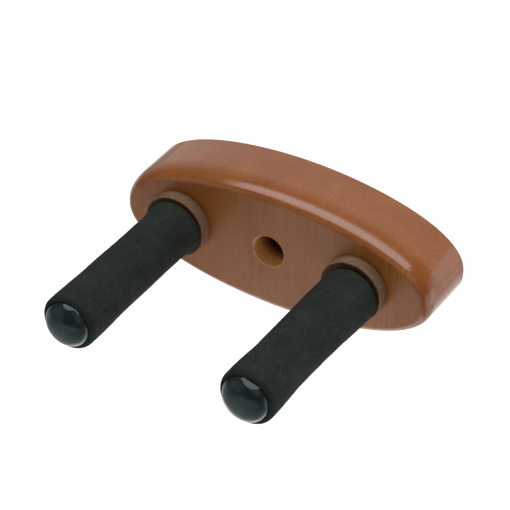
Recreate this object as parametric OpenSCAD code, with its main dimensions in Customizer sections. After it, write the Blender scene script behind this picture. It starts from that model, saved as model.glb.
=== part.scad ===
// Wall guitar hanger. One screw holds a hardwood plate to the wall, and two
// padded pegs stand out of the plate, one on each side of the guitar's neck.
//
// Frame: the origin is on the axis of the wall screw's hole, in the plane of
// the wall. Seen from the room, +X points right and +Z up, and the pegs point
// along -Y. Each piece is drawn standing on the XY plane, with its own Z as the
// distance out from the wall, and out_of_wall() lays it into this frame.

/* [Plate] */
// Length of the plate, end to end
plate_l = 140; // [136:1:160]
// Height of the plate at its middle
plate_h = 54.5; // [46:0.5:64]
// Thickness of the plate, from the wall to its front face
plate_t = 29.5; // [28:0.5:36]
// Distance that the plate's middle lies to the right of the wall screw's hole
plate_shift = 2; // [0:0.5:3]
// How far the round-over of the front edge takes the outline in
front_round = 3.4; // [2:0.2:5]
// How far that round-over reaches back from the front face
front_reach = 6.8; // [2:0.2:8]
// Small round-over along the edge against the wall
back_round = 0.6; // [0.4:0.2:1.2]
// Fullness of the outline at its two ends, where 2 is an ellipse
end_fullness = 1.93; // [1.8:0.01:2.2]
// Fullness of the outline along its top and bottom, where 2 is an ellipse
side_fullness = 2.28; // [2:0.02:2.6]

/* [Wall screw hole] */
// Clearance hole for the wall screw
wall_screw_d = 5.5; // [4:0.5:6.5]
// Counterbore in the front face that the screw's head goes down
wall_head_d = 14; // [12:0.5:18]
// Thickness of wood left under the screw's head
wall_web = 12; // [8:1:16]

/* [Pegs] */
// Distance between the axes of the two pegs
peg_spacing = 81; // [74:1:84]
// Diameter of the dowel inside each peg
dowel_d = 18; // [16:0.5:18]
// Depth of the socket in the plate that the dowel is glued into
socket_depth = 14; // [12:1:15]
// Glue gap round the dowel, on the radius
glue_gap = 0.05; // [0.02:0.01:0.06]

/* [Collars] */
// Diameter of the collar at the foot of each peg
collar_d = 27; // [26:0.5:30]
// Thickness of the collar
collar_t = 5.8; // [4:0.2:6]

/* [Foam sleeves] */
// Length of the sleeve, from the collar to its end
foam_l = 76.6; // [66:0.2:90]
// Left sleeve's diameter at the collar
left_foot_d = 22.2; // [21.6:0.2:25.4]
// Right sleeve's diameter at the collar, where it has been pushed up tight
right_foot_d = 25; // [21.6:0.2:25.4]
// Diameter at the sleeve's waist
foam_waist_d = 22.6; // [21.6:0.2:24]
// Diameter where the sleeve stretches over the end cap
foam_tip_d = 23.2; // [23.2:0.2:25]
// Width of the sleeve's rolled rim, from its outside in to the cap
foam_rim_w = 1.6; // [0.8:0.2:1.6]
// Length of the sleeve's end that the rim is rolled over
foam_rim_l = 2.4; // [1:0.2:4]

/* [End caps] */
// Wall thickness of the push-on cap
cap_wall = 0.8; // [0.6:0.1:0.8]
// Length of the cap's skirt, under the end of the sleeve
cap_skirt = 20; // [12:1:25]
// Height of the cap's dome
cap_dome = 5.4; // [3:0.2:7]

/* [Peg screws] */
// Outside diameter of the screw's thread
peg_screw_d = 4.8; // [4:0.2:5]
// Length of the screw under its head
peg_screw_l = 38; // [30:1:45]
// Diameter of the screw's pan head
peg_head_d = 9.2; // [8:0.2:9.4]
// Height of the screw's pan head
peg_head_h = 3.2; // [2.8:0.1:3.6]
// Diameter of the washer under the head
washer_d = 12; // [10:0.5:12.5]
// Thickness of the washer
washer_t = 1.2; // [1:0.1:1.4]
// Diameter of the recess in the plate's back for the head and washer
recess_d = 13; // [12.8:0.1:14]
// Depth of that recess
recess_depth = 7; // [6.6:0.2:8]

/* [Hidden] */
$fn = 64;

// Surfaces along the peg, as distances out from the wall
socket_floor = plate_t - socket_depth;
collar_front = plate_t + collar_t;
foam_end = collar_front + foam_l;
cap_seam_drop = 0.3;
cap_rim = foam_end - cap_seam_drop;
skirt_foot = cap_rim - cap_skirt;
washer_back = recess_depth - washer_t;
dowel_foot = socket_floor + 0.2;
dowel_end = cap_rim - 0.3;

cap_r = dowel_d / 2 + glue_gap + cap_wall;
dome_r = (cap_r * cap_r + cap_dome * cap_dome) / (2 * cap_dome);
bore_clearance = 0.1;
edge_break = 0.5;
past = 1;

// Places along the sleeve, as parts of its length
waist_at = 0.6;
stretched_at = 0.9;

outline_points = 120;
front_steps = 6;
back_steps = 1;

thread_pitch = 2;
thread_depth = 0.7;
thread_start = 10;
screw_point_l = 5;
drive_slot_w = 1.2;
drive_slot_l = 5;
drive_depth = 1.8;
head_dome_r = 9;

plate_colour = [0.56, 0.31, 0.15];
collar_colour = [0.50, 0.30, 0.17];
dowel_colour = [0.82, 0.68, 0.47];
foam_colour = [0.16, 0.17, 0.16];
cap_colour = [0.08, 0.10, 0.11];
zinc_colour = [0.72, 0.72, 0.68];

// ---- placing ----------------------------------------------------------------

module out_of_wall() {
    rotate([90, 0, 0]) children();
}

module at_peg(side) {
    out_of_wall() translate([side * peg_spacing / 2, 0, 0]) children();
}

module disc(d, from, to) {
    translate([0, 0, from]) cylinder(d = d, h = to - from);
}

// ---- plate ------------------------------------------------------------------

function signed_power(v, e) = sign(v) * pow(abs(v), e);

// The oval outline, drawn in from its full size by inset, at a height
function outline_ring(inset, height) = [
    for (i = [0:outline_points - 1])
        let (angle = 360 * i / outline_points)
            [
                (plate_l / 2 - inset) * signed_power(cos(angle), 2 / end_fullness),
                (plate_h / 2 - inset) * signed_power(sin(angle), 2 / side_fullness),
                height
            ]
];

// The rings from the wall up to the front face, over both rounded edges
function plate_rings() = concat(
    [
        for (step = [0:back_steps])
            let (turn = 90 * step / back_steps)
                outline_ring(back_round * (1 - sin(turn)), back_round * (1 - cos(turn)))
    ],
    [
        for (step = [0:front_steps])
            let (turn = 90 * step / front_steps)
                outline_ring(front_round * (1 - cos(turn)), plate_t - front_reach * (1 - sin(turn)))
    ]
);

// Two triangles between neighbouring points of ring k and of the ring above it
function band_faces(k) = [
    for (i = [0:outline_points - 1])
        let (
            low = k * outline_points + i,
            low_next = k * outline_points + (i + 1) % outline_points
        )
            each [
                [low, low + outline_points, low_next],
                [low_next, low + outline_points, low_next + outline_points]
            ]
];

// The oval block with both of its edges rounded over
module plate_blank() {
    rings = plate_rings();
    last = len(rings) - 1;
    wall_face = [for (i = [0:outline_points - 1]) i];
    front_face = [for (i = [outline_points - 1:-1:0]) last * outline_points + i];
    sides = [for (k = [0:last - 1]) each band_faces(k)];
    translate([plate_shift, 0, 0])
        polyhedron([for (ring = rings) each ring], concat([wall_face, front_face], sides));
}

module wall_screw_hole() {
    disc(wall_screw_d, -past, plate_t);
    disc(wall_head_d, wall_web, plate_t + past);
}

module peg_seat() {
    disc(recess_d, -past, recess_depth);
    disc(peg_screw_d + 2 * bore_clearance, 0, plate_t);
    disc(dowel_d + 2 * glue_gap, socket_floor, plate_t + past);
}

module backplate() {
    color(plate_colour) out_of_wall() difference() {
        plate_blank();
        wall_screw_hole();
        for (side = [-1, 1]) translate([side * peg_spacing / 2, 0, 0]) peg_seat();
    }
}

// ---- peg --------------------------------------------------------------------

module collar() {
    bore_r = dowel_d / 2 + glue_gap;
    r = collar_d / 2;
    color(collar_colour) translate([0, 0, plate_t]) rotate_extrude() polygon([
        [bore_r, 0],
        [r, 0],
        [r, collar_t - edge_break],
        [r - edge_break, collar_t],
        [bore_r, collar_t]
    ]);
}

module peg_dowel() {
    r = dowel_d / 2;
    color(dowel_colour) difference() {
        rotate_extrude() polygon([
            [0, dowel_foot],
            [r - edge_break, dowel_foot],
            [r, dowel_foot + edge_break],
            [r, dowel_end - edge_break],
            [r - edge_break, dowel_end],
            [0, dowel_end]
        ]);
        disc(peg_screw_d + 2 * bore_clearance, 0, washer_back + peg_screw_l + past);
    }
}

// Goes smoothly from a to b as t goes from 0 to 1
function ease(a, b, t) = a + (b - a) * (1 - cos(180 * min(max(t, 0), 1))) / 2;

// Radius of the sleeve's outside at t, from 0 at the collar to 1 at its end
function foam_r(foot_r, t) =
    t < waist_at
        ? ease(foot_r, foam_waist_d / 2, t / waist_at)
        : ease(foam_waist_d / 2, foam_tip_d / 2, (t - waist_at) / (stretched_at - waist_at));

// A tube that stretches over the cap's skirt, with a rolled rim round the cap
module foam_sleeve(foot_d) {
    inner_r = dowel_d / 2 + glue_gap;
    over_cap_r = cap_r + glue_gap;
    step_at = skirt_foot - 2 * glue_gap;
    rim_foot = foam_end - foam_rim_l;
    tip_r = foam_tip_d / 2;
    outside = [for (t = [0.1:0.1:0.9]) [foam_r(foot_d / 2, t), collar_front + t * foam_l]];
    rim = [
        for (turn = [0:22.5:90])
            [tip_r - foam_rim_w * (1 - cos(turn)), rim_foot + foam_rim_l * sin(turn)]
    ];
    color(foam_colour) rotate_extrude() polygon(concat(
        [
            [inner_r, collar_front],
            [foot_d / 2 - edge_break, collar_front],
            [foot_d / 2, collar_front + edge_break]
        ],
        outside,
        rim,
        [
            [over_cap_r, foam_end],
            [over_cap_r, step_at],
            [inner_r, step_at - (over_cap_r - inner_r)]
        ]
    ));
}

module domed_plug(r, dome_radius, foot, rim) {
    disc(2 * r, foot, rim);
    intersection() {
        disc(2 * r, rim - past, rim + r);
        translate([0, 0, rim - sqrt(dome_radius * dome_radius - r * r)]) sphere(dome_radius);
    }
}

module end_cap() {
    inside_r = cap_r - cap_wall;
    color(cap_colour) difference() {
        domed_plug(cap_r, dome_r, skirt_foot, cap_rim);
        domed_plug(inside_r, dome_r, skirt_foot - past, cap_rim - cap_wall / 2);
    }
}

// ---- fasteners --------------------------------------------------------------

function thread_ridges(root_r, crest_r, from, to) = [
    for (z = [from:thread_pitch:to - thread_pitch])
        for (corner = [[root_r, 0], [crest_r, thread_pitch / 2], [root_r, thread_pitch * 0.9]])
            [corner[0], z + corner[1]]
];

module peg_screw() {
    crest_r = peg_screw_d / 2;
    root_r = crest_r - thread_depth;
    tip = washer_back + peg_screw_l;
    color(zinc_colour) {
        difference() {
            union() {
                rotate_extrude() polygon(concat(
                    [[0, washer_back - past], [crest_r, washer_back - past], [crest_r, washer_back + thread_start]],
                    thread_ridges(root_r, crest_r, washer_back + thread_start + past, tip - screw_point_l),
                    [[root_r, tip - screw_point_l], [0, tip]]
                ));
                intersection() {
                    disc(peg_head_d, washer_back - peg_head_h, washer_back);
                    translate([0, 0, washer_back - peg_head_h + head_dome_r]) sphere(head_dome_r);
                }
            }
            for (turn = [0, 90])
                rotate([0, 0, turn])
                    translate([-drive_slot_l / 2, -drive_slot_w / 2, washer_back - peg_head_h - past])
                        cube([drive_slot_l, drive_slot_w, drive_depth + past]);
        }
    }
}

module screw_washer() {
    color(zinc_colour) difference() {
        disc(washer_d, washer_back, recess_depth);
        disc(peg_screw_d + 4 * bore_clearance, washer_back - past, recess_depth + past);
    }
}

// ---- nodes ------------------------------------------------------------------

backplate();
at_peg(-1) collar();  // left_collar
at_peg(1) collar();  // right_collar
at_peg(-1) peg_dowel();  // left_peg_dowel
at_peg(1) peg_dowel();  // right_peg_dowel
at_peg(-1) foam_sleeve(left_foot_d);  // left_foam_sleeve
at_peg(1) foam_sleeve(right_foot_d);  // right_foam_sleeve
at_peg(-1) end_cap();  // left_end_cap
at_peg(1) end_cap();  // right_end_cap
at_peg(-1) peg_screw();  // left_peg_screw
at_peg(1) peg_screw();  // right_peg_screw
at_peg(-1) screw_washer();  // left_screw_washer
at_peg(1) screw_washer();  // right_screw_washer
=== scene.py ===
import math

import bmesh
import bpy
from mathutils import Matrix, Vector, noise


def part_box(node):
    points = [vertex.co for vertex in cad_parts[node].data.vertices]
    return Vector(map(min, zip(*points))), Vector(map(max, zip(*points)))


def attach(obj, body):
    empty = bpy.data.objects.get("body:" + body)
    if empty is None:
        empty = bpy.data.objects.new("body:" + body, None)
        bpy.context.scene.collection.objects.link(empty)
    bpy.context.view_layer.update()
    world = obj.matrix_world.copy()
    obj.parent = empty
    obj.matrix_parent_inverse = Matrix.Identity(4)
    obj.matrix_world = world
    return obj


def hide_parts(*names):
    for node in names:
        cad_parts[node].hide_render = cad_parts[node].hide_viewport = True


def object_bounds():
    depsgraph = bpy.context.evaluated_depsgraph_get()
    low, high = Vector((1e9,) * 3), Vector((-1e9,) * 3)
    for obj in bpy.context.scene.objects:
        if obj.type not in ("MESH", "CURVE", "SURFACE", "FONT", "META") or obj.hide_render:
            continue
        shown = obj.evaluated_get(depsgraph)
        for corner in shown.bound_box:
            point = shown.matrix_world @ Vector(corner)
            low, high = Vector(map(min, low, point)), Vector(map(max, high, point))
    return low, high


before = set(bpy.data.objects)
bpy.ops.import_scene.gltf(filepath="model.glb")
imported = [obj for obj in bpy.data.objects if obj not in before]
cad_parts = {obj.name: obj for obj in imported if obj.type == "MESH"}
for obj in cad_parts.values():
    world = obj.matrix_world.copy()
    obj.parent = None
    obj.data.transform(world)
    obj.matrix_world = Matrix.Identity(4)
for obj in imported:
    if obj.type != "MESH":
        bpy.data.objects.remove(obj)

MM = 0.001

cad_lo, cad_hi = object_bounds()


# ---- where the CAD says things are -------------------------------------------


def middle(node):
    lo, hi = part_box(node)
    return (lo + hi) / 2


def out(node):
    """How far out from the wall a node starts and ends."""
    lo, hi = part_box(node)
    return -hi.y, -lo.y


plate_lo, plate_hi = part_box("backplate")
PLATE_T = -plate_lo.y
PLATE_MID_X = (plate_lo.x + plate_hi.x) / 2
HALF_L = (plate_hi.x - plate_lo.x) / 2
HALF_H = (plate_hi.z - plate_lo.z) / 2
COLLAR_FRONT = out("left_collar")[1]
COLLAR_R = (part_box("left_collar")[1].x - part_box("left_collar")[0].x) / 2
DOWEL_R = (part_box("left_peg_dowel")[1].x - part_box("left_peg_dowel")[0].x) / 2
FOAM_END = out("left_foam_sleeve")[1]
CAP_FOOT = out("left_end_cap")[0]
# What the dowel goes into is wider than the dowel by a film of glue, or by the sleeve's own fit
DOWEL_BORE_R = DOWEL_R + 0.05 * MM
# How thick a layer of a surface counts as the surface, when its faces are given their material
SKIN = 0.05 * MM


# ---- mesh helpers ------------------------------------------------------------


def new_object(name, bm):
    mesh = bpy.data.meshes.new(name)
    bmesh.ops.recalc_face_normals(bm, faces=bm.faces)
    bm.to_mesh(mesh)
    bm.free()
    obj = bpy.data.objects.new(name, mesh)
    bpy.context.scene.collection.objects.link(obj)
    return obj


def bridge(bm, ring, other):
    count = len(ring)
    for i in range(count):
        j = (i + 1) % count
        bm.faces.new((ring[i], ring[j], other[j], other[i]))


def lathe(bm, profile, centre, segments, closed=False):
    """Turns (radius, out) points round a peg's axis, and returns the rings.

    A radius of 0 closes the end, and closed joins the last ring to the first.
    """
    rings = []
    for radius, depth in profile:
        if radius == 0:
            rings.append(bm.verts.new((centre.x, -depth, centre.z)))
            continue
        rings.append([
            bm.verts.new((
                centre.x + radius * math.cos(2 * math.pi * i / segments),
                -depth,
                centre.z + radius * math.sin(2 * math.pi * i / segments),
            ))
            for i in range(segments)
        ])
    pairs = list(zip(rings, rings[1:]))
    if closed:
        pairs.append((rings[-1], rings[0]))
    for a, b in pairs:
        if isinstance(a, list) and isinstance(b, list):
            bridge(bm, a, b)
            continue
        pole, ring = (a, b) if isinstance(b, list) else (b, a)
        for i in range(segments):
            bm.faces.new((pole, ring[i], ring[(i + 1) % segments]))
    return rings


def arc(centre_r, centre_out, radius, start, end, steps):
    """(radius, out) points along an arc. Angle 0 is away from the axis, and 90 away from the wall."""
    return [
        (
            centre_r + radius * math.cos(math.radians(start + (end - start) * k / steps)),
            centre_out + radius * math.sin(math.radians(start + (end - start) * k / steps)),
        )
        for k in range(steps + 1)
    ]


def smooth(obj, sharp_deg=35):
    for polygon in obj.data.polygons:
        polygon.use_smooth = True
    obj.data.set_sharp_from_angle(angle=math.radians(sharp_deg))


def weigh_normals(obj):
    modifier = obj.modifiers.new("even_normals", "WEIGHTED_NORMAL")
    modifier.keep_sharp = True
    modifier.weight = 100


# ---- material helpers --------------------------------------------------------


class Shader:
    """A Principled material whose node tree is written one line at a time."""

    def __init__(self, name):
        self.material = bpy.data.materials.new(name)
        self.material.use_nodes = True
        self.nodes = self.material.node_tree.nodes
        self.links = self.material.node_tree.links
        self.bsdf = self.nodes["Principled BSDF"]

    def set(self, **values):
        for name, value in values.items():
            self.bsdf.inputs[name.replace("_", " ")].default_value = value

    def plug(self, source, socket):
        if isinstance(source, (int, float, tuple)):
            socket.default_value = source
        else:
            self.links.new(source, socket)

    def place(self, scale, offset=(0, 0, 0), turn=(0, 0, 0)):
        """The point's own place in millimetres, stretched by scale."""
        coord = self.nodes.new("ShaderNodeTexCoord")
        mapping = self.nodes.new("ShaderNodeMapping")
        mapping.inputs["Location"].default_value = offset
        mapping.inputs["Rotation"].default_value = [math.radians(t) for t in turn]
        mapping.inputs["Scale"].default_value = [s / MM for s in scale]
        self.links.new(coord.outputs["Object"], mapping.inputs["Vector"])
        return mapping.outputs["Vector"]

    def noise(self, vector, scale, detail, roughness):
        node = self.nodes.new("ShaderNodeTexNoise")
        self.links.new(vector, node.inputs["Vector"])
        node.inputs["Scale"].default_value = scale
        node.inputs["Detail"].default_value = detail
        node.inputs["Roughness"].default_value = roughness
        return node.outputs["Fac"]

    def cells(self, vector, scale):
        node = self.nodes.new("ShaderNodeTexVoronoi")
        self.links.new(vector, node.inputs["Vector"])
        node.inputs["Scale"].default_value = scale
        return node.outputs["Distance"]

    def maths(self, operation, a, b):
        node = self.nodes.new("ShaderNodeMath")
        node.operation = operation
        self.plug(a, node.inputs[0])
        self.plug(b, node.inputs[1])
        return node.outputs[0]

    def stretch(self, value, low, high, to_low=0.0, to_high=1.0):
        node = self.nodes.new("ShaderNodeMapRange")
        self.plug(value, node.inputs["Value"])
        node.inputs["From Min"].default_value = low
        node.inputs["From Max"].default_value = high
        node.inputs["To Min"].default_value = to_low
        node.inputs["To Max"].default_value = to_high
        return node.outputs["Result"]

    def mix(self, share, a, b):
        """Colour a, with a share of colour b in it."""
        node = self.nodes.new("ShaderNodeMix")
        node.data_type = "RGBA"
        self.plug(share, node.inputs[0])
        self.plug(a, node.inputs[6])
        self.plug(b, node.inputs[7])
        return node.outputs[2]

    def ramp(self, value, *stops):
        node = self.nodes.new("ShaderNodeValToRGB")
        self.links.new(value, node.inputs["Fac"])
        elements = node.color_ramp.elements
        while len(elements) < len(stops):
            elements.new(1.0)
        for element, (position, colour) in zip(elements, stops):
            element.position = position
            element.color = (*colour, 1)
        return node.outputs["Color"]

    def axes(self):
        """The point's own x, y and z in millimetres."""
        split = self.nodes.new("ShaderNodeSeparateXYZ")
        self.links.new(self.place((1, 1, 1)), split.inputs[0])
        return split.outputs

    def weigh(self, *parts):
        """The sum of (value, weight) parts."""
        total = None
        for value, weight in parts:
            part = self.maths("MULTIPLY", value, weight)
            total = part if total is None else self.maths("ADD", total, part)
        return total

    def bump(self, height, strength, distance_mm, after=None):
        node = self.nodes.new("ShaderNodeBump")
        node.inputs["Strength"].default_value = strength
        node.inputs["Distance"].default_value = distance_mm * MM
        self.links.new(height, node.inputs["Height"])
        if after is not None:
            self.links.new(after, node.inputs["Normal"])
        return node.outputs["Normal"]

    def colour(self, source):
        self.links.new(source, self.bsdf.inputs["Base Color"])

    def normal(self, source, socket="Normal"):
        self.links.new(source, self.bsdf.inputs[socket])


# How much of the blotches, bands, streaks and fibres goes into a stained wood's tone
BLOTCH_SHARE, BAND_SHARE, STREAK_SHARE, FIBRE_SHARE = 0.72, 0.14, 0.34, 0.45
# The tone's contrast: how far either side of its middle the colours reach
TONE_REACH = 0.25
# Pores, and the drawn growth lines, are the dark stain's colour times this
PORE_SHADE, LINE_SHADE = 0.62, 0.55
# How deep the waviness of a lacquer's surface is, in millimetres
PEEL = 0.05


def stained_wood(name, dark, mid, light, offset, streaks=1.0, lines=None):
    """Fine-grained hardwood, with its grain upright, so that the top shows end grain as specks."""
    s = Shader(name)
    blotch = s.noise(s.place((1, 1, 0.5), offset), 0.045, 3, 0.55)
    band = s.noise(s.place((0.30, 0.30, 0.010), offset), 1.0, 3, 0.6)
    streak = s.noise(s.place((0.9, 0.9, 0.03), offset), 1.0, 3, 0.65)
    fibre = s.noise(s.place((2.2, 2.2, 0.10), offset), 1.0, 3, 0.7)
    pores = s.noise(s.place((1.6, 1.6, 0.05), offset, (0, 0, 31)), 1.0, 4, 0.75)
    tone = s.weigh(
        (blotch, BLOTCH_SHARE), (band, BAND_SHARE),
        (streak, STREAK_SHARE * streaks), (fibre, FIBRE_SHARE * streaks))
    total = BLOTCH_SHARE + BAND_SHARE + (STREAK_SHARE + FIBRE_SHARE) * streaks
    tone = s.stretch(tone, 0.5 * total - TONE_REACH, 0.5 * total + TONE_REACH)
    base = s.ramp(tone, (0.0, dark), (0.5, mid), (1.0, light))
    speck = s.stretch(pores, 0.48, 0.72, 0.0, 0.75 * streaks)
    base = s.mix(speck, base, (*[c * PORE_SHADE for c in dark], 1))
    if lines:
        base = s.mix(lines(s), base, (*[c * LINE_SHADE for c in dark], 1))
    s.colour(base)
    s.normal(s.bump(fibre, 0.25, 0.05, s.bump(streak, 0.12, 0.10)))
    return s


def dark_lines(s):
    """Thin dark growth lines in the front face, to the right of the right peg."""
    thin = s.noise(s.place((1.25, 0.08, 0.004), (5, 0, 0)), 1.0, 2, 0.7)
    line = s.stretch(thin, 0.57, 0.66)
    x, y, _ = s.axes()
    fade_in = s.stretch(x, 46, 52)
    fade_out = s.stretch(x, 62, 56)
    face = s.stretch(y, -PLATE_T / MM + 0.4, -PLATE_T / MM + 0.1)
    near = s.maths("MULTIPLY", s.maths("MULTIPLY", fade_in, fade_out), face)
    return s.maths("MULTIPLY", s.maths("MULTIPLY", line, near), 0.45)


def lacquered(name, dark, mid, light, offset, coat, gloss, roughness, streaks=1.0, lines=None):
    s = stained_wood(name, dark, mid, light, offset, streaks, lines)
    s.set(Roughness=roughness, Specular_IOR_Level=0.1, IOR=1.45)
    s.set(Coat_Weight=coat, Coat_Roughness=gloss, Coat_IOR=1.65)
    s.normal(s.bump(s.noise(s.place((1, 1, 1), offset), 0.5, 2, 0.5), 0.4, PEEL), "Coat Normal")
    return s.material


# Painted shade on a hole's wall: how far behind the front face it starts to darken the wall, and where it
# is full, in millimetres
SHADE_FROM, SHADE_TO = 5, 11


def raw_wood():
    """The unstained wall of a hole, with painted shade that darkens it further in."""
    s = stained_wood(
        "raw_bored_wood", (0.60, 0.265, 0.085), (0.92, 0.510, 0.195), (0.96, 0.66, 0.32), (3, 8, 1))
    fresh = s.bsdf.inputs["Base Color"].links[0].from_socket
    painted_depth_shade = s.stretch(s.axes()[1], -PLATE_T / MM + SHADE_FROM, -PLATE_T / MM + SHADE_TO, 0.0, 0.95)
    # Further in, the wall's colour goes to dark brown: painted shade inside the hole
    s.colour(s.mix(painted_depth_shade, fresh, (0.10, 0.016, 0.010, 1)))
    s.set(Roughness=0.75, Specular_IOR_Level=0.15)
    return s.material


def foam_material():
    s = Shader("black_foam")
    pores = s.cells(s.place((1, 1, 1)), 1.25)
    fine = s.noise(s.place((1, 1, 1)), 1.7, 4, 0.75)
    cloud = s.noise(s.place((1, 1, 1)), 0.09, 3, 0.55)
    rub = s.noise(s.place((1, 0.4, 1)), 0.4, 3, 0.6)
    tone = s.stretch(s.weigh((fine, 0.75), (cloud, 0.30), (rub, 0.20)), 0.42, 0.86)
    skin = s.ramp(
        tone,
        (0.0, (0.0150, 0.0200, 0.0180)),
        (0.5, (0.0300, 0.0385, 0.0340)),
        (1.0, (0.0600, 0.0730, 0.0670)),
    )
    # Painted shade in the foam's pits: the pores are made darker than the skin
    pit_shade = s.stretch(pores, 0.30, 0.12, 0.0, 0.6)
    glint = s.stretch(s.noise(s.place((1, 1, 1), (9, 2, 4)), 2.4, 2, 0.6), 0.60, 0.72, 0.0, 0.55)
    s.colour(s.mix(glint, s.mix(pit_shade, skin, (0.009, 0.011, 0.010, 1)), (0.105, 0.115, 0.105, 1)))
    s.normal(s.bump(pores, 0.35, 0.15, s.bump(fine, 0.5, 0.18)))
    s.set(Roughness=0.92, Specular_IOR_Level=0.10)
    return s.material


def vinyl_material():
    s = Shader("gloss_vinyl")
    cloud = s.noise(s.place((1, 1, 1)), 0.35, 2, 0.5)
    scuff = s.noise(s.place((1, 1, 1)), 2.2, 4, 0.6)
    s.colour(s.ramp(cloud, (0.3, (0.0045, 0.0160, 0.0190)), (0.7, (0.0085, 0.0250, 0.0290))))
    rough = s.stretch(scuff, 0.3, 0.7, 0.18, 0.27)
    s.links.new(rough, s.bsdf.inputs["Roughness"])
    s.normal(s.bump(cloud, 0.3, 0.12, s.bump(scuff, 0.25, 0.02)))
    s.set(IOR=1.55, Specular_Tint=(0.84, 1.0, 0.97, 1))
    return s.material


def zinc_material():
    s = Shader("zinc_plate")
    spangle = s.cells(s.place((1, 1, 1)), 1.6)
    grain = s.noise(s.place((1, 1, 1)), 6.0, 3, 0.6)
    tone = s.weigh((spangle, 0.5), (grain, 0.6))
    s.colour(s.ramp(tone, (0.2, (0.50, 0.50, 0.47)), (0.8, (0.74, 0.74, 0.70))))
    s.links.new(s.stretch(grain, 0.3, 0.7, 0.22, 0.40), s.bsdf.inputs["Roughness"])
    s.normal(s.bump(grain, 0.2, 0.01))
    s.set(Metallic=1.0)
    return s.material


def beech_material():
    s = stained_wood("bare_beech", (0.42, 0.26, 0.13), (0.56, 0.37, 0.20), (0.68, 0.48, 0.28), (0, 40, 0))
    s.set(Roughness=0.6, Specular_IOR_Level=0.4)
    return s.material


PLATE_RAMP = (0.300, 0.072, 0.0075), (0.405, 0.115, 0.0160), (0.510, 0.165, 0.0300)
PLATE_WOOD = lacquered("lacquered_plate_wood", *PLATE_RAMP, (0, 0, 0), coat=1.0, gloss=0.17, roughness=0.5)
# The same lacquer, rubbed duller on the front face, with its colour there a little lighter and more golden
# as painted light
PLATE_FACE_LIT = lacquered(
    "rubbed_plate_face_painted_light", (0.300, 0.083, 0.0083), (0.405, 0.128, 0.0165), (0.500, 0.180, 0.0300),
    (0, 0, 0), coat=0.70, gloss=0.36, roughness=0.5, streaks=0.5, lines=dark_lines)
COLLAR_WOOD = lacquered(
    "satin_collar_wood", (0.175, 0.097, 0.050), (0.280, 0.164, 0.095), (0.41, 0.26, 0.16),
    (31, 7, 3), coat=0.25, gloss=0.42, roughness=0.6, streaks=1.3)
# The collar's front face: the same wood, made much darker as painted shade beside the foam
COLLAR_FACE_SHADED = lacquered(
    "collar_face_painted_shade", (0.050, 0.022, 0.011), (0.100, 0.044, 0.022), (0.155, 0.072, 0.036),
    (31, 7, 3), coat=0.15, gloss=0.45, roughness=0.7, streaks=1.2)
RAW_WOOD = raw_wood()
FOAM = foam_material()
VINYL = vinyl_material()
ZINC = zinc_material()
BEECH = beech_material()


# ---- plate -------------------------------------------------------------------

END_FULLNESS = 1.93
SIDE_FULLNESS = 2.28
# How far the front edge's round-over goes in and back, along the plate's underside and along its top
ROUND_IN = (3.2 * MM, 4.0 * MM)
ROUND_BACK = (3.8 * MM, 11.5 * MM)
BACK_ROUND = 0.6 * MM
# Where the underside's round-over starts to turn into the top's, as the sine of the angle round the plate,
# and how much more of that sine the change takes
TURN_FROM, TURN_SPAN = -0.35, 0.8
OUTLINE_POINTS = 360
BACK_STEPS, FRONT_STEPS = 4, 20
# The width of the narrow ring that keeps each flat face flat beside its rounded edge
SUPPORT = 0.4 * MM


def signed_power(v, e):
    return math.copysign(abs(v) ** e, v)


def outline_ring(bm, edge):
    """One loop round the plate.

    edge(upper) gives how far in and how far out it lies, where upper runs from 0 underneath to 1 on top.
    """
    ring = []
    for i in range(OUTLINE_POINTS):
        a = 2 * math.pi * i / OUTLINE_POINTS
        upper = min(max((math.sin(a) - TURN_FROM) / TURN_SPAN, 0), 1)
        inset, depth = edge(upper * upper * (3 - 2 * upper))
        ring.append(bm.verts.new((
            PLATE_MID_X + (HALF_L - inset) * signed_power(math.cos(a), 2 / END_FULLNESS),
            -depth,
            (HALF_H - inset) * signed_power(math.sin(a), 2 / SIDE_FULLNESS),
        )))
    return ring


def between(pair, share):
    return pair[0] + (pair[1] - pair[0]) * share


def plate_blank():
    bm = bmesh.new()
    rings = [outline_ring(bm, lambda upper: (BACK_ROUND + SUPPORT, 0))]
    for k in range(BACK_STEPS + 1):
        t = math.radians(90 * k / BACK_STEPS)
        rings.append(outline_ring(bm, lambda upper: (
            BACK_ROUND * (1 - math.sin(t)),
            BACK_ROUND * (1 - math.cos(t)),
        )))
    for k in range(FRONT_STEPS + 1):
        t = math.radians(90 * k / FRONT_STEPS)
        rings.append(outline_ring(bm, lambda upper: (
            between(ROUND_IN, upper) * (1 - math.cos(t)),
            PLATE_T - between(ROUND_BACK, upper) * (1 - math.sin(t)),
        )))
    rings.append(outline_ring(bm, lambda upper: (between(ROUND_IN, upper) + SUPPORT, PLATE_T)))
    for a, b in zip(rings, rings[1:]):
        bridge(bm, a, b)
    bm.faces.new(list(reversed(rings[0])))
    bm.faces.new(rings[-1])
    return new_object("backplate_wood", bm)


def bore_cutter():
    """The three stepped holes of the plate, as one set of solids to cut with."""
    # How far the solids stand out of the plate, and the chamfer on the screw hole's mouth
    past, edge = 1 * MM, 0.3 * MM
    screw_r, head_r, web = 2.75 * MM, 7.0 * MM, 12 * MM
    bm = bmesh.new()
    lathe(bm, [
        (0, -past), (screw_r, -past), (screw_r, web), (head_r, web),
        (head_r, PLATE_T - edge), (head_r + edge + past, PLATE_T + past), (0, PLATE_T + past),
    ], Vector((0, 0, 0)), segments=128)
    recess_r, thread_r, recess_depth, socket_floor = 6.5 * MM, 2.5 * MM, 7.0 * MM, 15.5 * MM
    for side in ("left", "right"):
        lathe(bm, [
            (0, -past), (recess_r, -past), (recess_r, recess_depth), (thread_r, recess_depth),
            (thread_r, socket_floor), (DOWEL_BORE_R, socket_floor),
            (DOWEL_BORE_R, PLATE_T + past), (0, PLATE_T + past),
        ], middle(side + "_collar"), segments=96)
    return new_object("bore_cutter", bm)


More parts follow.
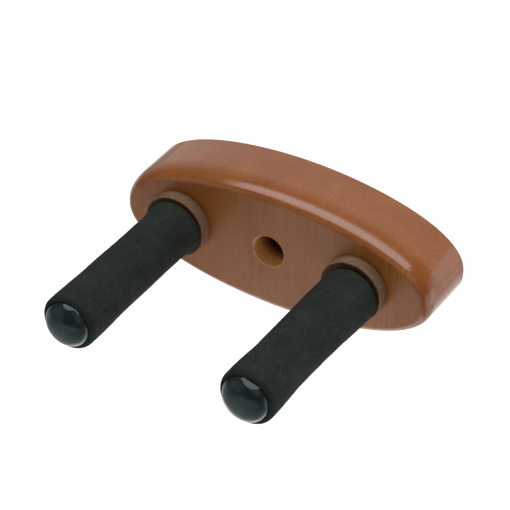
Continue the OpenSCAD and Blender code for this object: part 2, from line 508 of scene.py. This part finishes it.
def make_plate():
    plate, cutter = plate_blank(), bore_cutter()
    cut = plate.modifiers.new("bores", "BOOLEAN")
    cut.operation, cut.solver, cut.object = "DIFFERENCE", "EXACT", cutter
    bpy.context.view_layer.update()
    evaluated = plate.evaluated_get(bpy.context.evaluated_depsgraph_get())
    mesh = bpy.data.meshes.new_from_object(evaluated)
    plate.modifiers.clear()
    plate.data = mesh
    mesh.name = "backplate_wood"
    bpy.data.objects.remove(cutter)
    mesh.materials.clear()
    for material in (PLATE_WOOD, RAW_WOOD, PLATE_FACE_LIT):
        mesh.materials.append(material)
    # Each hole's axis, and a radius that takes in its wall
    holes = [
        (Vector((0, 0, 0)), 7.2 * MM),
        (middle("left_collar"), 9.2 * MM),
        (middle("right_collar"), 9.2 * MM),
    ]
    for polygon in mesh.polygons:
        c = polygon.center
        in_hole = any(math.hypot(c.x - axis.x, c.z - axis.z) < r for axis, r in holes)
        if in_hole and SKIN < -c.y < PLATE_T - SKIN:
            polygon.material_index = 1
        elif -c.y > PLATE_T - SKIN:
            polygon.material_index = 2
    smooth(plate)
    weigh_normals(plate)
    return plate


# ---- pegs --------------------------------------------------------------------


def ease(a, b, t):
    return a + (b - a) * (1 - math.cos(math.pi * min(max(t, 0), 1))) / 2


PEGS = {
    # In millimetres: the sleeve's radius at the collar, along its body and at its end, the flare of its
    # foot, how deep and how far its foot is drawn in, how far the foot leans to the right and up off the
    # dowel's axis, how far its end lies past CAD's, the cap's radius, and the reach of its rolled rim
    "left": {
        "root": 11.05, "waist": 11.3, "tip": 11.75, "flare": 0.95, "drawn": (0.8, 1.8),
        "lean": (0.15, 0.0), "shift": -1.0, "cap": 9.65, "rim": 2.2,
    },
    "right": {
        "root": 12.05, "waist": 11.35, "tip": 12.0, "flare": 0.1, "drawn": (1.5, 3.6),
        "lean": (0.55, -0.40), "shift": 1.1, "cap": 10.0, "rim": 2.6,
    },
}
FLARE_REACH = 5.0
LEAN_REACH = 40.0
# Shares of the sleeve's length: where its foot's radius has become its body's, where the body starts to
# swell over the cap's skirt, and how long that takes
BODY_FROM, SWELL_FROM, SWELL_SPAN = 0.6, 0.68, 0.24
SLEEVE_STEP = 0.45 * MM
RIM_STEPS = 10
# (size, scale) of the foam's unevenness, in millimetres and per millimetre: its waves, then its pores
SWELLS = ((0.16, 0.07), (0.06, 0.22))
PORES = ((0.035, 1.15), (0.02, 2.3))


def make_collar(side):
    """A collar with a small undercut where it meets the plate, and a rounded front edge."""
    r, edge, undercut = COLLAR_R, 0.6 * MM, 0.55 * MM
    bm = bmesh.new()
    lathe(bm, [
        (DOWEL_BORE_R, PLATE_T), (r - undercut, PLATE_T), (r - 0.35 * undercut, PLATE_T + 0.3 * undercut),
        (r, PLATE_T + undercut), (r, PLATE_T + 2 * MM),
        *arc(r - edge, COLLAR_FRONT - edge, edge, 0, 90, 6),
        (r - edge - 0.3 * MM, COLLAR_FRONT), (DOWEL_BORE_R, COLLAR_FRONT),
    ], middle(side + "_collar"), segments=160, closed=True)
    obj = new_object(side + "_collar_ring", bm)
    obj.data.materials.append(COLLAR_WOOD)
    obj.data.materials.append(COLLAR_FACE_SHADED)
    for polygon in obj.data.polygons:
        # Faces turned to the front take the painted-shade copy of the collar wood
        polygon.material_index = int(polygon.normal.y < -0.9)
    smooth(obj)
    weigh_normals(obj)
    return obj


def sleeve_radius(peg, s, length):
    """The sleeve's outer radius at s from the collar."""
    body = ease(peg["root"], peg["waist"], s / length / BODY_FROM)
    body = ease(body, peg["tip"], (s / length - SWELL_FROM) / SWELL_SPAN)
    body += peg["flare"] * math.exp(-((s / MM / FLARE_REACH) ** 2))
    depth, reach = peg["drawn"]
    k = max(1 - s / MM / reach, 0)
    body -= depth * (1 - math.sqrt(1 - k * k))
    return body * MM


def uneven(at, layers):
    """Layers of noise at a point, both in millimetres."""
    return sum(noise.noise(at * scale) * size for size, scale in layers)


def make_sleeve(side):
    """A foam sleeve, stretched over the cap's skirt at its end, with a rolled rim round the dome."""
    peg = PEGS[side]
    centre = middle(side + "_foam_sleeve")
    end = FOAM_END + peg["shift"] * MM
    length = end - COLLAR_FRONT
    cap_r = peg["cap"] * MM
    rim = peg["rim"] * MM
    tip_r = sleeve_radius(peg, length, length)
    rim_w = tip_r - cap_r - 0.15 * MM
    outer = []
    s = 0.0
    while s < length - rim:
        outer.append((sleeve_radius(peg, s, length), COLLAR_FRONT + s))
        s += SLEEVE_STEP
    rolled = [
        (tip_r - rim_w * (1 - math.cos(t)), end - rim * (1 - math.sin(t)))
        for t in (math.radians(90 * k / RIM_STEPS) for k in range(RIM_STEPS + 1))
    ]
    skirt_r = cap_r + 0.03 * MM
    groove = [(cap_r + 0.12 * MM, end - 0.25 * MM), (skirt_r, end - 0.9 * MM)]
    stretched_from = CAP_FOOT - 0.1 * MM
    inner = [
        (skirt_r, stretched_from), (DOWEL_BORE_R, stretched_from - 1.0 * MM), (DOWEL_BORE_R, COLLAR_FRONT),
    ]
    bm = bmesh.new()
    rings = lathe(bm, outer + rolled + groove + inner, centre, segments=200, closed=True)
    skin = len(outer) + len(rolled)
    for k, ring in enumerate(rings[:skin]):
        fade = min(1.0, k / 3) * min(1.0, (skin - k) / 6)
        for vert in ring:
            axis_point = Vector((centre.x, vert.co.y, centre.z))
            outward = (vert.co - axis_point).normalized()
            at = vert.co / MM
            vert.co += outward * (uneven(at, SWELLS) + uneven(at, PORES)) * fade * MM
            off_axis = 1 - ease(0, 1, (-at.y - COLLAR_FRONT / MM) / LEAN_REACH)
            vert.co.x += peg["lean"][0] * off_axis * MM
            vert.co.z += peg["lean"][1] * off_axis * MM
    obj = new_object(side + "_foam_pad", bm)
    obj.data.materials.append(FOAM)
    smooth(obj, 70)
    return obj


DOME_FULLNESS = 0.95
DOME_HEIGHT = 5.9 * MM
# How far inside the sleeve's end the dome starts
DOME_SUNK = 0.7 * MM
DOME_STEPS = 34
CAP_WALL = 0.5 * MM
# The left dome's dent: its depth, its spread, and its place right of the dome's middle and above it
DENT_DEPTH = 0.34 * MM
DENT_SPREAD = 2.3 * MM / 1.6
DENT_AT = (3.0 * MM, 6.6 * MM)
# The flat that each dome has been pressed to: its tilt off the axis, its turn from upright, and its depth
FLATS = {"left": (70, 8, 0.20 * MM), "right": (70, 16, 0.55 * MM)}


def press_flat(verts, apex, spec, dome_r, height):
    """Moves what lies outside a plane across the dome back onto it."""
    tilt, turn, depth = math.radians(spec[0]), math.radians(spec[1]), spec[2]
    across = Vector((math.sin(turn), 0, math.cos(turn)))
    normal = across * math.sin(tilt) + Vector((0, -1, 0)) * math.cos(tilt)
    foot = Vector((apex.x, apex.y + height, apex.z))
    reach = math.hypot(dome_r * math.sin(tilt), height * math.cos(tilt)) - depth
    for vert in verts:
        past = (vert.co - foot).dot(normal) - reach
        if past > 0:
            vert.co -= normal * past


def make_cap(side):
    """A domed cap with its skirt, which is under the sleeve."""
    peg = PEGS[side]
    centre = middle(side + "_end_cap")
    cap_r = peg["cap"] * MM
    foot = FOAM_END + peg["shift"] * MM - DOME_SUNK
    dome = [
        (
            cap_r * math.sin(t) ** DOME_FULLNESS if t else 0,
            foot + DOME_HEIGHT * max(math.cos(t), 0) ** DOME_FULLNESS,
        )
        for t in (math.pi / 2 * k / DOME_STEPS for k in range(DOME_STEPS))
    ]
    bm = bmesh.new()
    rings = lathe(bm, [
        *dome, (cap_r, foot), (cap_r, CAP_FOOT), (cap_r - CAP_WALL, CAP_FOOT),
        (cap_r - CAP_WALL, foot), (0, foot),
    ], centre, segments=128)
    skin = [rings[0]] + [vert for ring in rings[1:DOME_STEPS] for vert in ring]
    apex = Vector((centre.x, -foot - DOME_HEIGHT, centre.z))
    press_flat(skin, apex, FLATS[side], cap_r, DOME_HEIGHT)
    if side == "left":
        for vert in skin:
            dx, dz = vert.co.x - centre.x - DENT_AT[0], vert.co.z - centre.z - DENT_AT[1]
            near = math.exp(-(dx * dx + dz * dz) / (2 * DENT_SPREAD ** 2))
            vert.co.y += DENT_DEPTH * near
    obj = new_object(side + "_domed_cap", bm)
    obj.data.materials.append(VINYL)
    smooth(obj, 60)
    return obj


def finish_piece(piece, node):
    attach(piece, "root")
    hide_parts(node)


finish_piece(make_plate(), "backplate")
for side in ("left", "right"):
    finish_piece(make_collar(side), side + "_collar")
    sleeve = make_sleeve(side)
    finish_piece(sleeve, side + "_foam_sleeve")
    finish_piece(make_cap(side), side + "_end_cap")
    for node, material in (("_peg_dowel", BEECH), ("_peg_screw", ZINC), ("_screw_washer", ZINC)):
        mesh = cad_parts[side + node].data
        mesh.materials.clear()
        mesh.materials.append(material)


# ---- stage -------------------------------------------------------------------

FLOOR_DROP = 0.80
FLOOR_RADII = (0.5, 1.0, 2.0, 4.0, 8.0)
FLOOR_SEGMENTS = 96


def make_floor():
    bm = bmesh.new()
    rings = []
    for radius in FLOOR_RADII:
        rings.append([
            bm.verts.new((radius * math.cos(a), radius * math.sin(a), -FLOOR_DROP))
            for a in (2 * math.pi * i / FLOOR_SEGMENTS for i in range(FLOOR_SEGMENTS))
        ])
    bm.faces.new(rings[0])
    for a, b in zip(rings, rings[1:]):
        bridge(bm, a, b)
    floor = new_object("studio_floor", bm)
    for polygon in floor.data.polygons:
        if polygon.normal.z < 0:
            polygon.flip()
    s = Shader("pale_floor")
    cloud = s.noise(s.place((0.01, 0.01, 0.01)), 1.0, 2, 0.5)
    s.colour(s.ramp(cloud, (0.0, (0.90, 0.90, 0.90)), (1.0, (0.92, 0.92, 0.92))))
    s.set(Roughness=0.9, Specular_IOR_Level=0.1)
    floor.data.materials.append(s.material)


make_floor()

# An area light's power is its radiance times its area, times this
WATTS_PER_RADIANCE = math.pi


def softbox(name, place, aim, size, radiance):
    data = bpy.data.lights.new(name, "AREA")
    data.shape = "RECTANGLE"
    data.size, data.size_y = size
    data.energy = radiance * size[0] * size[1] * WATTS_PER_RADIANCE
    obj = bpy.data.objects.new(name, data)
    bpy.context.scene.collection.objects.link(obj)
    look = (Vector(aim) - Vector(place)).to_track_quat("-Z", "Y").to_matrix()
    obj.matrix_world = Matrix.Translation(Vector(place)) @ look.to_4x4()


softbox("key", (-0.02, 0.10, 0.96), (-0.02, 0.11, 0), (1.32, 0.48), 2.6)
softbox("front_left", (-0.66, -0.66, 0.36), (0, 0, 0), (1.10, 0.90), 0.27)
softbox("front_right", (0.55, -0.55, 0.60), (0, 0, 0), (0.8, 0.7), 0.36)
softbox("right_low", (0.93, 0.15, -0.22), (0, 0, 0), (0.8, 0.6), 0.8)
softbox("back_right", (0.75, 0.72, -0.02), (0, 0, 0), (1.1, 0.9), 0.55)
softbox("bounce", (0.03, -0.075, -0.12), (0.03, -0.03, 0), (0.20, 0.09), 1.0)
softbox("floor_back", (-0.55, 1.0, -0.1), (-0.55, 1.0, -FLOOR_DROP), (1.6, 1.6), 1.6)
softbox("floor_right", (1.0, 0.5, -0.4), (1.0, 0.5, -FLOOR_DROP), (0.9, 0.9), 1.0)
softbox("floor_front", (-0.5, -0.9, -0.3), (-0.5, -0.9, -FLOOR_DROP), (0.9, 0.9), 0.7)
softbox("floor_far", (0, -3.2, -0.2), (0, -3.2, -FLOOR_DROP), (3.6, 3.0), 0.65)
softbox("floor_left", (-3.2, 0.3, -0.2), (-3.2, 0.3, -FLOOR_DROP), (2.6, 3.6), 0.65)

# A soft even glow from the studio's walls, brighter behind the object
GLOW_FROM = (-0.05, 0.95, 0.05)
GLOW, GLOW_BEHIND = 0.13, 0.74
world = bpy.data.worlds.new("studio")
bpy.context.scene.world = world
world.use_nodes = True
wn, wl = world.node_tree.nodes, world.node_tree.links
direction = wn.new("ShaderNodeTexCoord")
towards = wn.new("ShaderNodeVectorMath")
towards.operation = "DOT_PRODUCT"
towards.inputs[1].default_value = Vector(GLOW_FROM).normalized()
wl.new(direction.outputs["Generated"], towards.inputs[0])
back = wn.new("ShaderNodeMapRange")
back.interpolation_type = "SMOOTHSTEP"
back.inputs["From Min"].default_value = 0.45
back.inputs["From Max"].default_value = 0.85
back.inputs["To Min"].default_value = GLOW
back.inputs["To Max"].default_value = GLOW_BEHIND
wl.new(towards.outputs["Value"], back.inputs["Value"])
wl.new(back.outputs["Result"], wn["Background"].inputs["Strength"])
wn["Background"].inputs["Color"].default_value = (1.0, 0.995, 0.985, 1)

bpy.context.scene.view_settings.view_transform = "Standard"
bpy.context.scene.view_settings.look = "None"

# ---- camera ------------------------------------------------------------------

AZIMUTH, ELEVATION, ROLL = math.radians(30.75), math.radians(36.324), math.radians(1.018)
# The camera's distance from the point that it looks at, and how far right of and above the middle of the
# CAD box that point lies, in the picture
DISTANCE = 1.10874
AIM_RIGHT, AIM_UP = 0.00811, 0.01378
LENS, SENSOR = 201.43, 36.0

forward = Vector((
    -math.sin(AZIMUTH) * math.cos(ELEVATION),
    math.cos(AZIMUTH) * math.cos(ELEVATION),
    -math.sin(ELEVATION),
))
level_right = Vector((math.cos(AZIMUTH), math.sin(AZIMUTH), 0))
level_up = level_right.cross(forward)
right = math.cos(ROLL) * level_right + math.sin(ROLL) * level_up
up = right.cross(forward)
camera_data = bpy.data.cameras.new("camera")
camera_data.lens = LENS
camera_data.sensor_width = SENSOR
camera_data.clip_start, camera_data.clip_end = 0.05, 50
camera = bpy.data.objects.new("camera", camera_data)
bpy.context.scene.collection.objects.link(camera)
aim = (cad_lo + cad_hi) / 2 + right * AIM_RIGHT + up * AIM_UP
turned = Matrix((right, up, -forward)).transposed()
camera.matrix_world = Matrix.Translation(aim - forward * DISTANCE) @ turned.to_4x4()
bpy.context.scene.camera = camera
